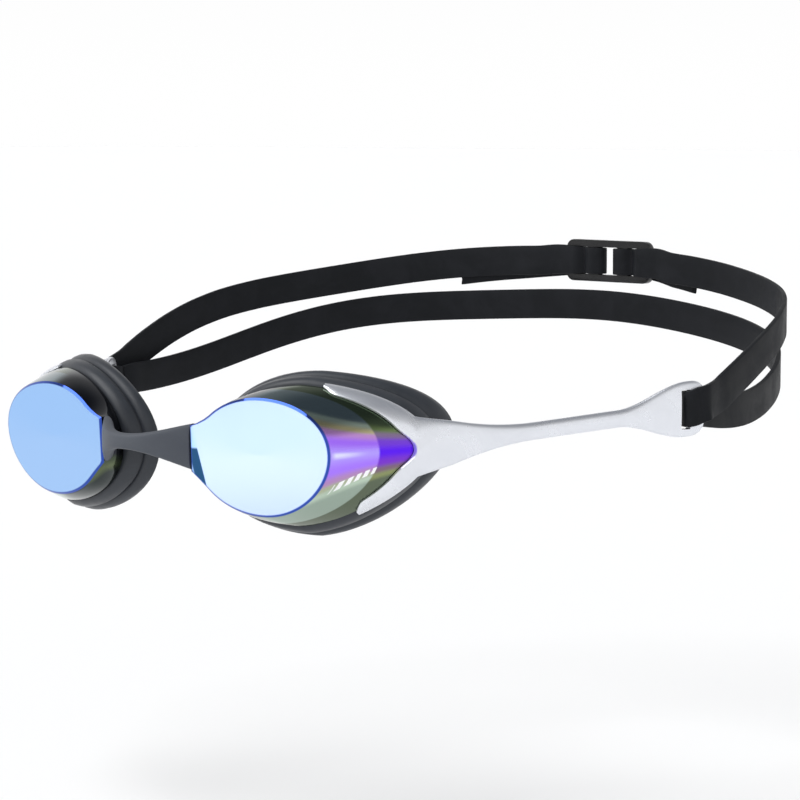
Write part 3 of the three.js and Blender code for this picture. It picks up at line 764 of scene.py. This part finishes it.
# ---------------------------------------------------------------- finishes
def mirrored_lens():
    """Blue mirror on the flat pane, violet to olive tint fanning out round the side wall; the
    wall's top darkens as a painted reflection, a pale line on it is a painted highlight, and the
    left pane carries a painted reflection of the nose bridge.
    """
    material, tree, shader = node_tree("mirrored_lens", 0.08, 0.92, 0.15)
    depth = tree.nodes.new("ShaderNodeAttribute")
    depth.attribute_name = "depth"
    deep = depth.outputs["Fac"]
    around = tree.nodes.new("ShaderNodeAttribute")
    around.attribute_name = "around"
    split = tree.nodes.new("ShaderNodeSeparateXYZ")
    tree.links.new(around.outputs["Vector"], split.inputs[0])
    spread = math_node(tree, "MULTIPLY_ADD", deep, 1.7, 1.0)
    height = math_node(tree, "MULTIPLY", split.outputs["Y"], spread)
    height = math_node(tree, "MULTIPLY_ADD", height, 0.5, 0.5)
    # Wall colour bands round the cup: violet and olive tint, going dark at the top as a painted
    # reflection.
    near_tint_and_reflection = ramp(tree, height, [
        (0.0, (0.34, 0.43, 0.36)), (0.1, (0.50, 0.62, 0.50)), (0.17, (0.42, 0.46, 0.32)),
        (0.23, (0.46, 0.26, 0.52)), (0.34, (0.40, 0.20, 1.0)), (0.5, (0.46, 0.34, 1.0)),
        (0.64, (0.36, 0.15, 0.95)), (0.75, (0.50, 0.26, 0.62)), (0.82, (0.46, 0.42, 0.24)),
        (0.92, (0.36, 0.45, 0.38)), (1.0, (0.12, 0.17, 0.19))])
    rear_tint = ramp(tree, height, [
        (0.0, (0.12, 0.15, 0.10)), (0.1, (0.26, 0.30, 0.13)), (0.2, (0.22, 0.14, 0.20)),
        (0.32, (0.20, 0.04, 0.62)), (0.5, (0.11, 0.01, 0.90)), (0.66, (0.18, 0.05, 0.68)),
        (0.78, (0.22, 0.15, 0.28)), (0.88, (0.14, 0.20, 0.08)), (1.0, (0.06, 0.09, 0.05))])
    rear = ramp(tree, deep, [(0.58, (0,) * 3), (0.61, (1,) * 3)])
    wall = blend_colours(tree, rear, near_tint_and_reflection, rear_tint)
    # Painted highlight: a pale blue-white line across the side wall at mid height, near the face.
    painted_highlight_streak = math_node(tree, "MULTIPLY", ramp(tree, height, [
        (0.44, (0,) * 3), (0.50, (0.8,) * 3), (0.54, (0,) * 3)]), ramp(tree, deep, [
            (0.08, (0,) * 3), (0.14, (1,) * 3), (0.5, (0,) * 3)]))
    wall = blend_colours(tree, painted_highlight_streak, wall, (0.85, 0.88, 1.0))
    nose = ramp(tree, math_node(tree, "MULTIPLY_ADD", split.outputs["X"], -0.5, 0.5), [
        (0.5, (0,) * 3), (0.62, (1,) * 3)])
    nose_tint = ramp(tree, height, [
        (0.0, (0.02, 0.03, 0.03)), (0.15, (0.10, 0.13, 0.06)), (0.25, (0.05, 0.07, 0.04)),
        (0.35, (0.01, 0.012, 0.02)), (1.0, (0.01, 0.012, 0.02))])
    wall = blend_colours(tree, nose, wall, nose_tint)
    pane = ramp(tree, height, [(0.2, (0.52, 0.64, 0.93)), (0.8, (0.46, 0.60, 0.92))])
    # Painted reflection of the nose bridge on the left pane: deeper blue towards the neck, and a
    # dark patch low beside it.
    place = tree.nodes.new("ShaderNodeSeparateXYZ")
    tree.links.new(object_place(tree, 1000), place.inputs[0])
    slant = math_node(tree, "MULTIPLY_ADD", place.outputs["Z"], 0.25, place.outputs["X"])
    slant = math_node(tree, "MULTIPLY_ADD", slant, 0.1, -1)
    bridge_reflection_side = ramp(tree, slant, [
        (0.3, (0,) * 3), (0.35, (1,) * 3), (0.57, (1,) * 3), (0.59, (0,) * 3)])
    low = ramp(tree, math_node(tree, "MULTIPLY_ADD", place.outputs["Z"], 0.1, 0.5), [
        (0.36, (1,) * 3), (0.42, (0,) * 3)])
    neck_reflection_tint = ramp(tree, slant, [(0.45, (0.5,) * 3), (0.66, (0,) * 3)])
    pane = blend_colours(tree, neck_reflection_tint, pane, (0.20, 0.50, 0.90))
    pane = blend_colours(tree, math_node(tree, "MULTIPLY", bridge_reflection_side, low), pane, (0.01, 0.06, 0.15))
    bars = math_node(tree, "LESS_THAN", math_node(
        tree, "FRACT", math_node(tree, "MULTIPLY", deep, 12.5)), 0.62)
    off_line = math_node(tree, "ABSOLUTE", math_node(
        tree, "SUBTRACT", height, math_node(tree, "MULTIPLY_ADD", deep, 0.2, 0.09)))
    mark = math_node(tree, "MULTIPLY", bars, math_node(tree, "LESS_THAN", off_line, 0.05))
    mark = math_node(tree, "MULTIPLY", mark, math_node(
        tree, "LESS_THAN",
        math_node(tree, "ABSOLUTE", math_node(tree, "SUBTRACT", deep, 0.4)), 0.2))
    mark = math_node(tree, "MULTIPLY", mark, math_node(
        tree, "GREATER_THAN", split.outputs["X"], 0.1))
    wall = blend_colours(tree, mark, wall, (0.95, 0.95, 0.97))
    colour = blend_colours(tree, ramp(tree, deep, [(0.03, (0,) * 3), (0.05, (1,) * 3)]), pane, wall)
    edge = ramp(tree, deep, [
        (0.012, (0,) * 3), (0.022, (1,) * 3), (0.07, (1,) * 3), (0.09, (0,) * 3)])
    colour = blend_colours(tree, edge, colour, (0.03, 0.08, 0.42))
    inside = ramp(tree, math_node(tree, "MULTIPLY", deep, 0.5), [(0.5, (0,) * 3), (0.53, (1,) * 3)])
    colour = blend_colours(tree, inside, colour, (0.05, 0.07, 0.12))
    tree.links.new(colour, shader.inputs["Base Color"])
    use_surface(tree, shader, 900, 60, 0.02, 0.00002, (0.05, 0.1))
    return material


def plain_finish(name, colour, worn, rough, grain, strength, metallic=0.0, gloss=0.5):
    material, tree, shader = node_tree(name, rough[0], metallic)
    shader.inputs["Specular IOR Level"].default_value = gloss
    node = use_surface(tree, shader, grain, 90, strength, 0.00005, rough)
    tree.links.new(
        blend_colours(tree, node.outputs["Marks"], colour, worn), shader.inputs["Base Color"])
    return material


LENS = mirrored_lens()
SEAL = plain_finish(
    "seal_rubber", (0.030, 0.034, 0.042), (0.038, 0.043, 0.052), (0.36, 0.5), 2200, 0.2, gloss=0.35)
BRIDGE = plain_finish(
    "bridge_rubber", (0.070, 0.078, 0.095), (0.080, 0.089, 0.105), (0.5, 0.6), 2400, 0.3, gloss=0.3)
SILVER = plain_finish(
    "silver_paint", (0.80, 0.82, 0.87), (0.76, 0.78, 0.83), (0.26, 0.32), 1600, 0.03, metallic=0.8)
SILICONE = plain_finish(
    "strap_silicone", (0.007, 0.008, 0.010), (0.012, 0.013, 0.016),
    (0.5, 0.65), 2600, 0.3, gloss=0.12)
HARD_BLACK = plain_finish(
    "buckle_plastic", (0.006, 0.006, 0.007), (0.010, 0.010, 0.011),
    (0.14, 0.24), 2600, 0.12, gloss=0.35)


# ---------------------------------------------------------------- assembly
def dress(piece, material, nodes):
    piece.data.materials.clear()
    piece.data.materials.append(material)
    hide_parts(*nodes)
    return piece


cup_left = cup_shell()
seal_left = soft_seal()
cup_right = mirrored_copy(cup_left, "cup_right")
seal_right = mirrored_copy(seal_left, "seal_right")
arm_left = fork_arm("arm_left_silver", 0)
arm_right_source = fork_arm("arm_source", RIGHT_DROP)
arm_right = mirrored_copy(arm_right_source, "arm_right_silver")
bpy.data.objects.remove(arm_right_source)

for side, cup, seal, arm in (("left", cup_left, seal_left, arm_left),
                             ("right", cup_right, seal_right, arm_right)):
    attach(dress(cup, LENS, ["lens_" + side]), "cup_" + side)
    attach(dress(seal, SEAL, ["gasket_" + side]), "cup_" + side)
    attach(dress(arm, SILVER, ["arm_" + side]), "cup_" + side)

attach(dress(nose_bar(), BRIDGE, ["nose_bridge"]), "bridge")
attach(dress(slide_buckle(), HARD_BLACK, ["buckle"]), "buckle")

LEAD_Y = loop_point(LEAD, 0, UPPER).y * MM
for side, sign in (("left", 1), ("right", -1)):
    lead = dress(strap_lead("strap_lead_" + side, sign), SILICONE, ["strap_loop_" + side])
    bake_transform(lead)
    crown = dress(
        strap_crown("strap_crown_" + side, sign), SILICONE, ["strap_upper_" + side])
    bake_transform(crown)
    wrap = dress(strap_wrap("strap_wrap_" + side, sign), SILICONE, ["strap_upper_" + side])
    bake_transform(wrap)
lower = dress(strap_lower_run(), SILICONE, ["strap_lower"])
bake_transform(lower)

# ---------------------------------------------------------------- stage, light, camera
deselect()
bpy.ops.mesh.primitive_plane_add(size=40, location=(0, 0, -0.09))
floor = bpy.context.object
floor.name = "floor"
paint = bpy.data.materials.new("floor_paint")
paint.use_nodes = True
paint.node_tree.nodes["Principled BSDF"].inputs["Base Color"].default_value = (0.95, 0.95, 0.95, 1)
paint.node_tree.nodes["Principled BSDF"].inputs["Roughness"].default_value = 0.9
floor.data.materials.append(paint)

world = bpy.data.worlds.new("studio")
world.use_nodes = True
tree = world.node_tree
rise = tree.nodes.new("ShaderNodeSeparateXYZ")
tree.links.new(tree.nodes.new("ShaderNodeTexCoord").outputs["Object"], rise.inputs[0])
tree.links.new(ramp(tree, rise.outputs["Z"], [
    (0.0, (1.0,) * 3), (0.14, (0.95,) * 3), (0.42, (0.95,) * 3), (0.66, (0.4,) * 3),
    (0.9, (0.14, 0.15, 0.17))]),
    tree.nodes["Background"].inputs["Color"])
bpy.context.scene.world = world

sun_data = bpy.data.lights.new("overhead", "SUN")
sun_data.energy = 2.25
sun_data.angle = math.radians(50)
sun = bpy.data.objects.new("overhead", sun_data)
sun.rotation_euler = Vector((0.3, 0.45, -0.84)).to_track_quat("-Z", "Y").to_euler()
bpy.context.scene.collection.objects.link(sun)
pool_data = bpy.data.lights.new("floor_pool", "SPOT")
pool_data.energy = 6
pool_data.spot_size = math.radians(46)
pool_data.spot_blend = 1
pool_data.shadow_soft_size = 0.05
pool = bpy.data.objects.new("floor_pool", pool_data)
pool.location = (-0.15, -0.43, 0.4)
bpy.context.scene.collection.objects.link(pool)

YAW, PITCH, ROLL = (math.radians(v) for v in (39.4, 5.3, 0.1))
look = Vector((-math.sin(YAW) * math.cos(PITCH), math.cos(YAW) * math.cos(PITCH), -math.sin(PITCH)))
right = Vector((math.cos(YAW), math.sin(YAW), 0))
over = right.cross(look)
right, over = (right * math.cos(ROLL) + over * math.sin(ROLL),
               over * math.cos(ROLL) - right * math.sin(ROLL))
camera_data = bpy.data.cameras.new("camera")
camera_data.lens = 2910 / 800 * 36
camera_data.sensor_width = 36
camera_data.clip_start = 0.01
camera = bpy.data.objects.new("camera", camera_data)
camera.matrix_world = Matrix((
    (right.x, over.x, -look.x, 463.5 * MM),
    (right.y, over.y, -look.y, -488.4 * MM),
    (right.z, over.z, -look.z, 70.1 * MM),
    (0, 0, 0, 1)))
bpy.context.scene.collection.objects.link(camera)
bpy.context.scene.camera = camera
bpy.context.scene.view_settings.view_transform = "Standard"
